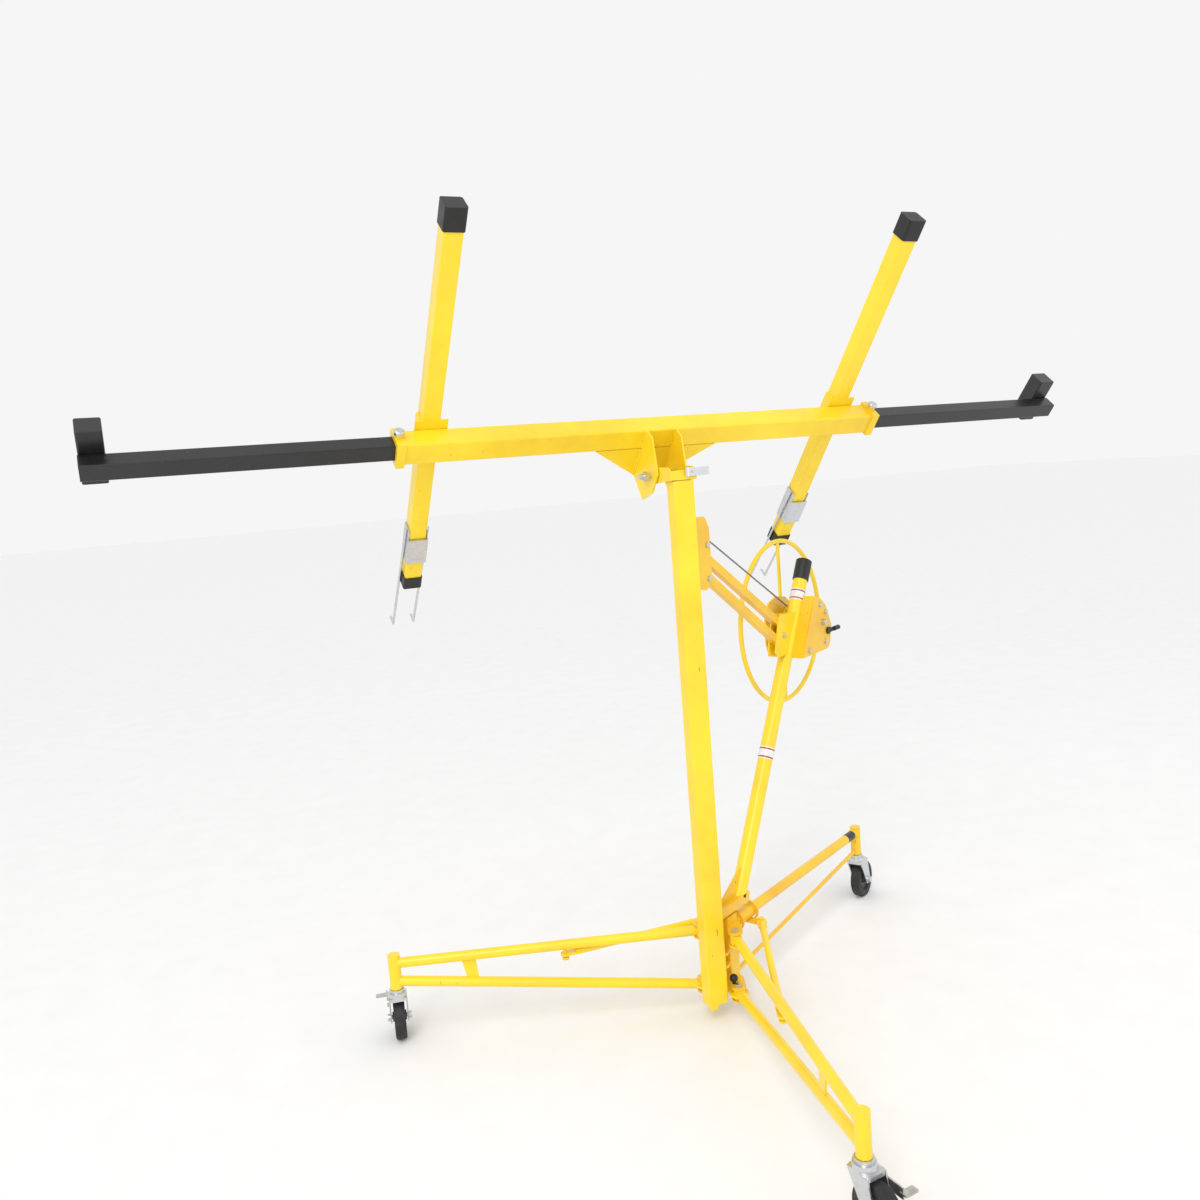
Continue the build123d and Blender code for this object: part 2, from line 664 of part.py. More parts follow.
with BuildPart() as winch_shaft:
    with BuildSketch(side_plane(WHEEL_U - 14)):
        with Locations((WINCH_V, WINCH_Z)):
            Circle(8)
    extrude(amount=-WHEEL_U + 14 + 60)
save(winch_shaft, "winch_shaft")

with BuildPart() as handwheel:
    with BuildSketch(Plane(origin=base(WHEEL_U, WINCH_V, WINCH_Z), x_dir=bu, z_dir=bv)):
        with Locations((0, WHEEL_RING_R)):
            Circle(WHEEL_TUBE_R)
    revolve(axis=Axis(base(WHEEL_U, WINCH_V, WINCH_Z), bu))
    add(run(base(WHEEL_U, WINCH_V, WINCH_Z - WHEEL_RING_R + 1), base(WHEEL_U, WINCH_V, WINCH_Z + WHEEL_RING_R - 1), 4.5))
    with BuildSketch(side_plane(WHEEL_U - 12)):
        with Locations((WINCH_V, WINCH_Z)):
            Circle(20)
    extrude(amount=26)
    with BuildSketch(side_plane(WHEEL_U - 16)):
        with Locations((WINCH_V, WINCH_Z)):
            Circle(8.0)
    extrude(amount=34, mode=Mode.SUBTRACT)
save(handwheel, "handwheel")

# brake lever on the near cheek
with BuildPart() as brake_lever:
    with BuildSketch(side_plane(49.4)):
        with Locations((436, 812)):
            Circle(9)
        with BuildLine():
            Polyline((436, 806), (470, 808), (470, 816), (436, 820), close=True)
        make_face()
    extrude(amount=4)
    add(run(base(51.4, 466, 812), base(51.4, 494, 812), 6))
save(brake_lever, "brake_lever")

with BuildPart() as winch_bolts:
    for v, z in ((400, 885), (428, 862), (420, 786), (330, 778)):
        with BuildSketch(side_plane(49)):
            with Locations((v, z)):
                RegularPolygon(7, 6)
        extrude(amount=5)
    for v, z in ((-56, 1086), (-56, 1010), (270, 826)):
        with BuildSketch(side_plane(12)):
            with Locations((v, z)):
                RegularPolygon(7, 6)
        extrude(amount=5)
    add(pulley_pin.part)
save(winch_bolts, "winch_bolts")

# ---------------------------------------------------------------- lift cable
# tangent line over the pulley to the top of the drum, in the upright plane through both
s2 = (base(-34, WINCH_V, 0) - Vector(D.X, D.Y, 0)).dot(h)
r1, r2 = PULLEY_R, DRUM_R + CABLE_R
c1, c2 = (PULLEY_R, PULLEY_Z), (s2, WINCH_Z)
ang_c = math.atan2(c2[1] - c1[1], c2[0] - c1[0])
dist_c = math.hypot(c2[0] - c1[0], c2[1] - c1[1])
off_a = math.asin((r1 - r2) / dist_c)
na = ang_c + math.pi / 2 - off_a
t1 = (c1[0] + r1 * math.cos(na), c1[1] + r1 * math.sin(na))
t2 = (c2[0] + (r2 + 0.3) * math.cos(na), c2[1] + (r2 + 0.3) * math.sin(na))
mid_a = (math.pi + na) / 2
cab_plane = Plane(origin=Vector(D.X, D.Y, 0), x_dir=h, z_dir=hw)
z_in = PULLEY_Z - 40
with BuildPart() as lift_cable:
    with BuildLine(cab_plane):
        Line((0, z_in), (0, PULLEY_Z))
        ThreePointArc((0, PULLEY_Z), (c1[0] + r1 * math.cos(mid_a), c1[1] + r1 * math.sin(mid_a)), t1)
        Line(t1, t2)
    with BuildSketch(mast_plane(z_in)):
        with Locations((0, 13)):
            Circle(CABLE_R)
    sweep()
save(lift_cable, "lift_cable")

with BuildPart() as cable_drop:
    with BuildSketch(mast_plane(74)):
        with Locations((0, 13)):
            Circle(CABLE_R)
    extrude(amount=z_in - 74)
save(cable_drop, "cable_drop")

# ---------------------------------------------------------------- head on the inner section
with BuildPart() as head_bracket:
    with BuildSketch(mast_plane(1234)):
        with Locations((0, 12)):
            Rectangle(64, 60)
    extrude(amount=5)
    for x in (-32, 28):
        with BuildSketch(Plane(origin=(MX + x, MY, 0), x_dir=(0, 1, 0), z_dir=(1, 0, 0))):
            with BuildLine():
                Polyline((-18, 1234), (70, 1228), (80, 1236), (80, 1258), (70, 1266), (-6, 1262), (-18, 1252), close=True)
            make_face()
        extrude(amount=4)
    # front cross bar of the head
    with BuildSketch(mast_plane(1239)):
        with Locations((0, -16)):
            Rectangle(64, 4)
    extrude(amount=16)
    with BuildSketch(Plane(origin=(MX - 40, MY + PIV_Y, PIV_Z), z_dir=(1, 0, 0))):
        Circle(6)
    extrude(amount=80, mode=Mode.SUBTRACT)
save(head_bracket, "head_bracket")

with BuildPart() as tilt_bolt:
    add(run(PIVOT - Vector(66, 0, 0), PIVOT + Vector(62, 0, 0), 6))
    with BuildSketch(Plane(origin=PIVOT - Vector(56, 0, 0), z_dir=(1, 0, 0))):
        RegularPolygon(11, 6)
    extrude(amount=10)
    with BuildSketch(Plane(origin=PIVOT + Vector(44, 0, 0), z_dir=(1, 0, 0))):
        RegularPolygon(11, 6)
    extrude(amount=12)
save(tilt_bolt, "tilt_bolt")

with BuildPart() as tilt_spring:
    with BuildSketch(Plane(origin=PIVOT - Vector(26, 0, 0), z_dir=(1, 0, 0))):
        Circle(10)
        Circle(6.0, mode=Mode.SUBTRACT)
    extrude(amount=52)
save(tilt_spring, "tilt_spring")

# chrome catch on the front of the head, swings on an upright screw
with BuildPart() as tilt_latch:
    with BuildSketch(mast_plane(1241)):
        with BuildLine():
            Polyline((3, -21.5), (3, -24.5), (60, -24.5), (60, -21.5), close=True)
        make_face()
    extrude(amount=18)
    with BuildSketch(mast_plane(1240)):
        with Locations((6, -23)):
            Circle(4.2)
    extrude(amount=20)
    with BuildSketch(mast_plane(1247)):
        with BuildLine():
            Polyline((18, -24), (18, -29), (54, -29), (58, -24), close=True)
        make_face()
    extrude(amount=6)
save(tilt_latch, "tilt_latch")

# ---------------------------------------------------------------- cradle
with BuildPart() as cradle_beam:
    with BuildSketch(cr_x(-BEAM_HALF)):
        RectangleRounded(BEAM_S, BEAM_S, 4)
        RectangleRounded(BEAM_S - 2 * BEAM_T, BEAM_S - 2 * BEAM_T, 1.5, mode=Mode.SUBTRACT)
    extrude(amount=2 * BEAM_HALF)
save(cradle_beam, "cradle_beam")

with BuildPart() as cradle_yoke:
    with BuildSketch(cr_n(21)):
        with BuildLine():
            Polyline((-150, -25), (150, -25), (38, -100), (-38, -100), close=True)
        make_face()
    extrude(amount=4)
    for x in (-38, 34):
        with BuildSketch(cr_x(x)):
            with BuildLine():
                Polyline((24, 25), (24, 52), (-28, 114), (-78, 116), (-122, 86), (-100, 22), (-25, 22), (-25, 25), close=True)
            make_face()
            with Locations((-51, 90)):
                Circle(6.08, mode=Mode.SUBTRACT)
        extrude(amount=4)
save(cradle_yoke, "cradle_yoke")

# guides in the beam ends, with the bosses for the plungers
with BuildPart() as beam_guides:
    for s in (-1, 1):
        with BuildSketch(cr_x(-BEAM_HALF - 18 if s < 0 else BEAM_HALF)):
            Rectangle(58, 58)
            Rectangle(36.8, 36.8, mode=Mode.SUBTRACT)
        extrude(amount=18)
        with BuildSketch(Plane(origin=cr(s * (BEAM_HALF + 9), 26, 0), x_dir=(1, 0, 0), z_dir=cu)):
            Circle(9)
        extrude(amount=10)
        with BuildSketch(Plane(origin=cr(s * (BEAM_HALF + 9), 16, 0), x_dir=(1, 0, 0), z_dir=cu)):
            Circle(4.06)
        extrude(amount=30, mode=Mode.SUBTRACT)
save(beam_guides, "beam_guides")

caps, saddles = [], []
for side, s, xe in (("left", -1, 1165.0), ("right", 1, 1185.0)):
    with BuildPart() as plunger:
        with BuildSketch(Plane(origin=cr(s * (BEAM_HALF + 9), 18.8, 0), x_dir=(1, 0, 0), z_dir=cu)):
            Circle(4)
        extrude(amount=22)
        with BuildSketch(Plane(origin=cr(s * (BEAM_HALF + 9), 36.4, 0), x_dir=(1, 0, 0), z_dir=cu)):
            Circle(11)
        extrude(amount=9)
        fillet(plunger.edges().group_by(Axis(cr(0, 0, 0), cu))[-1], 4)
    save(plunger, side + "_plunger")

    with BuildPart() as outrigger:
        with BuildSketch(cr_x(-xe if s < 0 else xe - 745)):
            RectangleRounded(36, 36, 3)
            RectangleRounded(31, 31, 1.5, mode=Mode.SUBTRACT)
        extrude(amount=745)

    with BuildPart() as end_rest:
        with BuildSketch(cr_u(-52)):
            with Locations((s * (xe - 24), 40)):
                RectangleRounded(46, 44, 4)
        extrude(amount=118)
        fillet(end_rest.edges().group_by(Axis(cr(0, 0, 0), cu))[-1], 2)
    with BuildPart() as outrigger_welded:
        add(outrigger.part)
        add(end_rest.part)
    save(outrigger_welded, side + "_outrigger")

    with BuildPart() as cross_arm:
        with BuildSketch(cr_u(ARM_BOT)):
            with Locations((s * ARM_X, 45)):
                RectangleRounded(ARM_W, 38, 3)
                RectangleRounded(ARM_W - 4, 34, 1.5, mode=Mode.SUBTRACT)
        extrude(amount=ARM_TOP - ARM_BOT)
        add(run(cr(s * ARM_X - 30, HOOK_PIN_U, -45), cr(s * ARM_X + 30, HOOK_PIN_U, -45), HOOK_PIN_R + 0.08), mode=Mode.SUBTRACT)
    save(cross_arm, side + "_cross_arm")

    with BuildPart() as arm_caps:
        for u0, u1, u2 in ((ARM_TOP - 34, ARM_TOP + 12, 1), (ARM_BOT - 12, ARM_BOT + 20, -1)):
            with BuildSketch(cr_u(u0)):
                with Locations((s * ARM_X, 45)):
                    RectangleRounded(ARM_W + 5, 43, 5)
            extrude(amount=u1 - u0)
        with BuildSketch(cr_u(ARM_BOT)):
            with Locations((s * ARM_X, 45)):
                RectangleRounded(ARM_W, 38, 3)
        extrude(amount=ARM_TOP - ARM_BOT, mode=Mode.SUBTRACT)
    caps.append(arm_caps.part)

    # saddle that ties the arm to the beam
    with BuildPart() as arm_saddle:
        with BuildSketch(cr_u(-40)):
            with Locations((s * ARM_X, 45)):
                Rectangle(46, 40)
        extrude(amount=80)
        with BuildSketch(cr_n(-28.4)):
            with Locations((s * ARM_X, 0)):
                Rectangle(70, 90)
        extrude(amount=3.4)
        with BuildSketch(cr_u(-60)):
            with Locations((s * ARM_X, 45)):
                RectangleRounded(ARM_W, 38, 3)
        extrude(amount=120, mode=Mode.SUBTRACT)
        with BuildSketch(cr_n(-80)):
            with Locations((s * ARM_X, 0)):
                Rectangle(120, 140)
        extrude(amount=16, mode=Mode.SUBTRACT)
    saddles.append(arm_saddle.part)

    # panel hook: folded plate with two wire prongs, swings about a cross pin
    with BuildPart() as panel_hook:
        with BuildSketch(cr_u(-345)):
            with Locations((s * ARM_X, 41)):
                Rectangle(ARM_W + 7.4, 42)
            with Locations((s * ARM_X, 48)):
                Rectangle(ARM_W + 1.4, 48, mode=Mode.SUBTRACT)
        extrude(amount=92)
        with BuildSketch(cr_u(-276)):
            with Locations((s * ARM_X, 20)):
                Rectangle(60, 12)
        extrude(amount=30, mode=Mode.SUBTRACT)
        add(run(cr(s * ARM_X - 25.5, HOOK_PIN_U, -45), cr(s * ARM_X + 25.5, HOOK_PIN_U, -45), HOOK_PIN_R))
        for k in (-1, 1):
            x = s * ARM_X + k * 25
            add(run(cr(x, -256, -40), cr(x, -580, -61), 3))
            add(run(cr(x, -578.5, -61), cr(x, -578.5, -84), 3))
            add(Sphere(3.05, mode=Mode.PRIVATE).moved(Location(cr(x, -578.8, -61))))
    save(panel_hook, side + "_panel_hook")

with BuildPart() as arm_end_caps:
    for q in caps:
        add(q)
save(arm_end_caps, "arm_end_caps")

with BuildPart() as arm_saddles:
    for q in saddles:
        add(q)
save(arm_saddles, "arm_saddles")
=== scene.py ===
import json
import math
import bpy
import bmesh
from mathutils import Vector, Matrix


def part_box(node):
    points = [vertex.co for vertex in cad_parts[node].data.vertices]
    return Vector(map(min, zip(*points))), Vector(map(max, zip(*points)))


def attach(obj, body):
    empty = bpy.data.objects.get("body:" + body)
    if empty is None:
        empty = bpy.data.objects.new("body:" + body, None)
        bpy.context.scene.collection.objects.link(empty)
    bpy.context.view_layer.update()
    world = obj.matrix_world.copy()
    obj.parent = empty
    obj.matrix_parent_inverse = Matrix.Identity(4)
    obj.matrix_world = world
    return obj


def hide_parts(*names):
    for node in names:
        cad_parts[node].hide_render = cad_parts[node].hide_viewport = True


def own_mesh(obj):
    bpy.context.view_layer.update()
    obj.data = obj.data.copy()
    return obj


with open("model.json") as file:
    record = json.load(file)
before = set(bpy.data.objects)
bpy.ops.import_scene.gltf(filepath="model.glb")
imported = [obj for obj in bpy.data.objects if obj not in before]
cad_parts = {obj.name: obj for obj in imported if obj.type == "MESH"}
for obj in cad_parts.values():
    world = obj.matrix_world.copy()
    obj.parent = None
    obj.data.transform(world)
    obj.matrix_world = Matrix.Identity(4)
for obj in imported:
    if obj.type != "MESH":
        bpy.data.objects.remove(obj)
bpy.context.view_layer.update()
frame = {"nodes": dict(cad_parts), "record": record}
nodes = frame["nodes"]

# ---------------------------------------------------------------- the object's own axes, metres
MX, MY = -0.010, 0.127
_h = math.hypot(0.886, 0.463)
bv = Vector((0.886 / _h, 0.463 / _h, 0.0))
bu = Vector((bv.y, -bv.x, 0.0))
Z = Vector((0, 0, 1))


def base(u, v, z=0.0):
    return Vector((MX + 0.1125, MY + 0.0588, z)) + bu * u + bv * v


TILT = math.radians(39.9)
cu = Vector((0, -math.sin(TILT), math.cos(TILT)))
cn = Vector((0, -math.cos(TILT), -math.sin(TILT)))
PIVOT = Vector((MX, MY + 0.0642, 1.2465))
BC = PIVOT + cu * 0.051 - cn * 0.090


def cr(x, u, n):
    return BC + Vector((x, 0, 0)) + cu * u + cn * n


# ---------------------------------------------------------------- material tools
class Mat:
    def __init__(self, name):
        self.m = bpy.data.materials.new(name)
        self.m.use_nodes = True
        self.t = self.m.node_tree
        self.b = self.t.nodes["Principled BSDF"]
        tc = self.t.nodes.new("ShaderNodeTexCoord")
        self.co = tc.outputs["Object"]

    def node(self, kind, **props):
        n = self.t.nodes.new(kind)
        for k, v in props.items():
            setattr(n, k, v)
        return n

    def link(self, a, b):
        self.t.links.new(a, b)

    def scaled(self, s):
        n = self.node("ShaderNodeMapping")
        n.inputs["Scale"].default_value = s
        self.link(self.co, n.inputs["Vector"])
        return n.outputs["Vector"]

    def noise(self, scale, detail=4.0, rough=0.55, vec=None):
        n = self.node("ShaderNodeTexNoise")
        n.inputs["Scale"].default_value = scale
        n.inputs["Detail"].default_value = detail
        n.inputs["Roughness"].default_value = rough
        self.link(vec or self.co, n.inputs["Vector"])
        return n.outputs["Fac"]

    def cells(self, scale, vec=None):
        n = self.node("ShaderNodeTexVoronoi")
        n.inputs["Scale"].default_value = scale
        self.link(vec or self.co, n.inputs["Vector"])
        return n

    def ramp(self, fac, stops):
        n = self.node("ShaderNodeValToRGB")
        e = n.color_ramp.elements
        while len(e) < len(stops):
            e.new(0.5)
        for i, (p, c) in enumerate(stops):
            e[i].position = p
            e[i].color = c if len(c) == 4 else (*c, 1)
        self.link(fac, n.inputs["Fac"])
        return n.outputs["Color"]

    def span(self, fac, a, b):
        n = self.node("ShaderNodeMapRange")
        n.inputs["To Min"].default_value = a
        n.inputs["To Max"].default_value = b
        self.link(fac, n.inputs["Value"])
        return n.outputs["Result"]

    def mix(self, fac, a, b, how="MIX"):
        n = self.node("ShaderNodeMix", data_type="RGBA", blend_type=how)
        self.link(fac, n.inputs[0])
        for s, v in ((n.inputs[6], a), (n.inputs[7], b)):
            if hasattr(v, "links"):
                self.link(v, s)
            else:
                s.default_value = v if len(v) == 4 else (*v, 1)
        return n.outputs[2]

    def bump(self, height, strength, distance, prev=None):
        n = self.node("ShaderNodeBump")
        n.inputs["Strength"].default_value = strength
        n.inputs["Distance"].default_value = distance
        self.link(height, n.inputs["Height"])
        if prev:
            self.link(prev, n.inputs["Normal"])
        return n.outputs["Normal"]

    def set(self, **kw):
        for k, v in kw.items():
            s = self.b.inputs[k.replace("_", " ")]
            if hasattr(v, "links"):
                self.link(v, s)
            else:
                s.default_value = v if not isinstance(v, tuple) else ((*v, 1) if len(v) == 3 else v)
        return self.m


def paint(name, light, mid, dark, chip, rough=(0.30, 0.44), chips=0.725):
    """Powder coat: pooled colour, orange peel, faint rubbed dust and small chips."""
    m = Mat(name)
    big = m.noise(5.5, 5, 0.6)
    col = m.ramp(big, [(0.30, dark), (0.5, mid), (0.72, light)])
    grime = m.ramp(m.noise(34, 8, 0.72), [(0.60, (0, 0, 0)), (0.80, (1, 1, 1))])
    soft = m.node("ShaderNodeMath", operation="MULTIPLY")
    soft.inputs[1].default_value = 0.20
    m.link(grime, soft.inputs[0])
    col = m.mix(soft.outputs[0], col, tuple(c * 0.55 for c in dark))
    # short scuffs along the long way of the tubes
    scuff = m.ramp(m.noise(120, 3, 0.5, m.scaled((1, 1, 0.22))), [(chips, (0, 0, 0)), (chips + 0.03, (1, 1, 1))])
    col = m.mix(scuff, col, chip)
    rg = m.span(m.noise(22, 6, 0.6), rough[0], rough[1])
    peel = m.bump(m.noise(520, 2, 0.5), 0.16, 0.0006)
    nrm = m.bump(m.noise(60, 4, 0.55), 0.05, 0.002, peel)
    return m.set(Base_Color=col, Roughness=rg, Normal=nrm, Coat_Weight=0.25, Coat_Roughness=0.18, Specular_IOR_Level=0.5)


def metal(name, a, b, rough=(0.28, 0.5), scale=95, streak=(1, 1, 1), dirt=(0.16, 0.13, 0.09), dirty=0.35):
    """Plated steel: spangle, handling marks and grime in the low spots."""
    m = Mat(name)
    v = m.cells(scale, m.scaled(streak))
    col = m.ramp(v.outputs["Distance"], [(0.0, a), (0.85, b)])
    g = m.ramp(m.noise(48, 8, 0.7), [(0.56, (0, 0, 0)), (0.80, (1, 1, 1))])
    soft = m.node("ShaderNodeMath", operation="MULTIPLY")
    soft.inputs[1].default_value = dirty
    m.link(g, soft.inputs[0])
    col = m.mix(soft.outputs[0], col, dirt)
    rg = m.span(m.noise(70, 6, 0.65), rough[0], rough[1])
    nrm = m.bump(m.noise(420, 3, 0.6, m.scaled(streak)), 0.14, 0.0005)
    return m.set(Base_Color=col, Metallic=1.0, Roughness=rg, Normal=nrm)


YELLOW = paint("powder_coat_yellow", (0.96, 0.73, 0.020), (0.93, 0.67, 0.014), (0.86, 0.58, 0.010), (0.52, 0.32, 0.03))
# the second yellow is the same powder coat darkened to its shaded tone: painted shade for the parts that sat in shadow
YELLOW_PAINTED_SHADE = paint("powder_coat_yellow_painted_shade", (0.92, 0.60, 0.012), (0.88, 0.53, 0.009), (0.78, 0.43, 0.006), (0.46, 0.26, 0.03))
BLACK = paint("powder_coat_black", (0.010, 0.010, 0.011), (0.006, 0.006, 0.0065), (0.003, 0.003, 0.0035), (0.09, 0.09, 0.09), (0.30, 0.46), 0.735)
ZINC = metal("zinc_plate", (0.70, 0.71, 0.73), (0.60, 0.61, 0.63), (0.26, 0.42), 140, (1, 1, 1), (0.22, 0.20, 0.16), 0.22)
CHROME = metal("bright_chrome", (0.86, 0.87, 0.88), (0.76, 0.77, 0.79), (0.06, 0.20), 60, (1, 1, 1), (0.35, 0.32, 0.28), 0.18)
SPRING = metal("spring_wire", (0.62, 0.62, 0.63), (0.42, 0.42, 0.43), (0.22, 0.40), 240)
BRASSY = metal("passivated_brake", (0.70, 0.69, 0.66), (0.50, 0.49, 0.46), (0.30, 0.5), 80)


def tyre_material():
    m = Mat("moulded_tyre")
    dust = m.ramp(m.noise(30, 9, 0.75), [(0.45, (0.012, 0.012, 0.013)), (0.72, (0.045, 0.043, 0.041)), (0.86, (0.11, 0.105, 0.095))])
    nrm = m.bump(m.noise(260, 5, 0.7), 0.35, 0.0008)
    return m.set(Base_Color=dust, Roughness=m.span(m.noise(45, 5, 0.6), 0.48, 0.80), Normal=nrm)


def core_material():
    m = Mat("moulded_wheel_centre")
    col = m.ramp(m.noise(26, 6, 0.65), [(0.35, (0.05, 0.052, 0.058)), (0.7, (0.105, 0.108, 0.115))])
    nrm = m.bump(m.noise(320, 3, 0.6), 0.18, 0.0006)
    return m.set(Base_Color=col, Roughness=m.span(m.noise(40, 5, 0.6), 0.36, 0.56), Normal=nrm)


def plastic_material():
    m = Mat("grained_black_plastic")
    col = m.ramp(m.noise(18, 7, 0.7), [(0.35, (0.005, 0.005, 0.0055)), (0.68, (0.011, 0.011, 0.012)), (0.88, (0.032, 0.031, 0.029))])
    v = m.cells(620)
    nrm = m.bump(v.outputs["Distance"], 0.22, 0.0005)
    return m.set(Base_Color=col, Roughness=m.span(m.noise(60, 5, 0.6), 0.34, 0.58), Normal=nrm)


def cable_material():
    """Laid wire rope: strands run round the cable at a slant."""
    m = Mat("wire_rope")
    w = m.node("ShaderNodeTexWave", wave_type="BANDS", bands_direction="DIAGONAL")
    w.inputs["Scale"].default_value = 230
    w.inputs["Distortion"].default_value = 0.6
    m.link(m.co, w.inputs["Vector"])
    col = m.ramp(w.outputs["Fac"], [(0.15, (0.07, 0.07, 0.075)), (0.6, (0.40, 0.40, 0.41))])
    nrm = m.bump(w.outputs["Fac"], 0.6, 0.0006)
    return m.set(Base_Color=col, Metallic=0.9, Roughness=m.span(m.noise(80, 4, 0.6), 0.34, 0.55), Normal=nrm)


def label_material():
    """Plain printed band with no words: pale film between two thin red rules."""
    m = Mat("plain_label_film")
    col = m.ramp(m.noise(60, 6, 0.65), [(0.35, (0.70, 0.70, 0.69)), (0.75, (0.86, 0.86, 0.85))])
    nrm = m.bump(m.noise(260, 3, 0.55), 0.10, 0.0004)
    return m.set(Base_Color=col, Roughness=m.span(m.noise(40, 4, 0.6), 0.26, 0.42), Normal=nrm)


def rule_material():
    m = Mat("plain_label_rule")
    col = m.ramp(m.noise(90, 5, 0.6), [(0.35, (0.36, 0.03, 0.02)), (0.75, (0.55, 0.06, 0.04))])
    nrm = m.bump(m.noise(260, 3, 0.55), 0.10, 0.0004)
    return m.set(Base_Color=col, Roughness=m.span(m.noise(40, 4, 0.6), 0.28, 0.45), Normal=nrm)


TYRE, CORE, PLASTIC, CABLE = tyre_material(), core_material(), plastic_material(), cable_material()
LABEL, RULE = label_material(), rule_material()

by_slot = {"yellow_paint": YELLOW, "black_paint": BLACK, "zinc": ZINC, "chrome": CHROME, "wheel_rubber": TYRE,
           "brake_steel": BRASSY, "black_plastic": PLASTIC, "steel_cable": CABLE}
slot_of = {p["node"]: p["material_slot"] for p in frame["record"]["subparts"]}
# parts that take the darker copy of the yellow, painted shade standing in for the shadow they sat in
painted_shade_parts = ("base_hub", "rear_leg_tube", "truss_rod", "brace_collar", "mast_bracket", "winch_arms", "winch_housing", "mast_foot_bracket")
for name, o in nodes.items():
    o.data.materials.clear()
    o.data.materials.append(YELLOW_PAINTED_SHADE if name in painted_shade_parts else by_slot[slot_of[name]])

# the caster wheels are one node of two solids: the tyre outside and the moulded centre inside
for side in ("left", "right", "rear"):
    o = nodes[side + "_caster_wheel"]
    lo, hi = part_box(side + "_caster_wheel")
    c = (lo + hi) / 2
    flat = Vector((hi.x - lo.x, hi.y - lo.y, 0))
    o.data.materials.append(CORE)
    edge = 0.051
    for p in o.data.polygons:
        far = max((o.data.vertices[i].co - c).length for i in p.vertices)
        p.material_index = 0 if far > 0.0375 else 1

# soft-shade the round pieces, keep the edges crisp
for name, o in nodes.items():
    for p in o.data.polygons:
        p.use_smooth = True
    mod = o.modifiers.new("edges", "EDGE_SPLIT")
    mod.split_angle = math.radians(28)


# ---------------------------------------------------------------- detail pieces
def mesh_from(name, verts, faces, mat, smooth=True):
    me = bpy.data.meshes.new(name)
    me.from_pydata([tuple(v) for v in verts], [], faces)
    me.update()
    bm = bmesh.new()
    bm.from_mesh(me)
    bmesh.ops.recalc_face_normals(bm, faces=bm.faces)
    bm.to_mesh(me)
    bm.free()
    for p in me.polygons:
        p.use_smooth = smooth
    o = bpy.data.objects.new(name, me)
    bpy.context.scene.collection.objects.link(o)
    o.data.materials.append(mat)
    return o


def tube(name, pts, radii, mat, sides=12, closed=False):
    """Skin round a line of points, with a radius at each point."""
    n = len(pts)
    verts, faces = [], []
    up = None
    for i, p in enumerate(pts):
        a = pts[(i - 1) % n] if closed or i > 0 else p
        b = pts[(i + 1) % n] if closed or i < n - 1 else p
        d = (b - a).normalized()
        if up is None:
            up = d.orthogonal().normalized()
        up = (up - d * up.dot(d)).normalized()
        w = d.cross(up)
        for k in range(sides):
            t = 2 * math.pi * k / sides
            verts.append(p + (up * math.cos(t) + w * math.sin(t)) * radii[i])
    last = n if closed else n - 1
    for i in range(last):
        j = (i + 1) % n
        for k in range(sides):
            l = (k + 1) % sides
            faces.append((i * sides + k, i * sides + l, j * sides + l, j * sides + k))
    if not closed:
        faces.append(tuple(reversed(range(sides))))
        faces.append(tuple((n - 1) * sides + k for k in range(sides)))
    return mesh_from(name, verts, faces, mat)


def weld_ripple(i, r):
    return r * (0.86 + 0.16 * abs(math.sin(i * 0.62)) + 0.05 * math.sin(i * 1.93))


def weld_line(name, p0, p1, r, body, mat=None):
    """Laid weld bead: overlapping ripples along a straight seam."""
    n = max(8, int((p1 - p0).length / 0.0012))
    pts, rad = [], []
    side = (p1 - p0).normalized().orthogonal().normalized()
    for i in range(n + 1):
        t = i / n
        end = min(1.0, 0.45 + min(t, 1 - t) * 14)
        pts.append(p0.lerp(p1, t) + side * (0.00035 * math.sin(i * 0.9)))
        rad.append(weld_ripple(i, r) * end)
    o = tube(name, pts, rad, mat or YELLOW, 8)
    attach(o, body)
    return o


def weld_ring(name, centre, axis, ring_r, r, body, mat=None):
    axis = axis.normalized()
    a = axis.orthogonal().normalized()
    b = axis.cross(a)
    n = max(40, int(2 * math.pi * ring_r / 0.0012))
    pts, rad = [], []
    for i in range(n):
        t = 2 * math.pi * i / n
        pts.append(centre + (a * math.cos(t) + b * math.sin(t)) * ring_r)
        rad.append(weld_ripple(i, r))
    o = tube(name, pts, rad, mat or YELLOW, 8, closed=True)
    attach(o, body)
    return o


def sleeve(name, p0, p1, r, thick, mat, body, sides=48):
    """Thin band round a tube, open in the middle, with rounded lips."""
    d = (p1 - p0)
    length = d.length
    d = d.normalized()
    a = d.orthogonal().normalized()
    b = d.cross(a)
    lip = thick * 0.4
    prof = [(0, r), (0, r + thick - lip), (lip, r + thick), (length - lip, r + thick), (length, r + thick - lip), (length, r)]
    verts, faces = [], []
    for k in range(sides):
        t = 2 * math.pi * k / sides
        e = a * math.cos(t) + b * math.sin(t)
        for (s, q) in prof:
            verts.append(p0 + d * s + e * q)
    m = len(prof)
    for k in range(sides):
        l = (k + 1) % sides
        for i in range(m):
            j = (i + 1) % m
            faces.append((k * m + i, k * m + j, l * m + j, l * m + i))
    o = mesh_from(name, verts, faces, mat)
    mod = o.modifiers.new("edges", "EDGE_SPLIT")
    mod.split_angle = math.radians(40)
    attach(o, body)
    return o


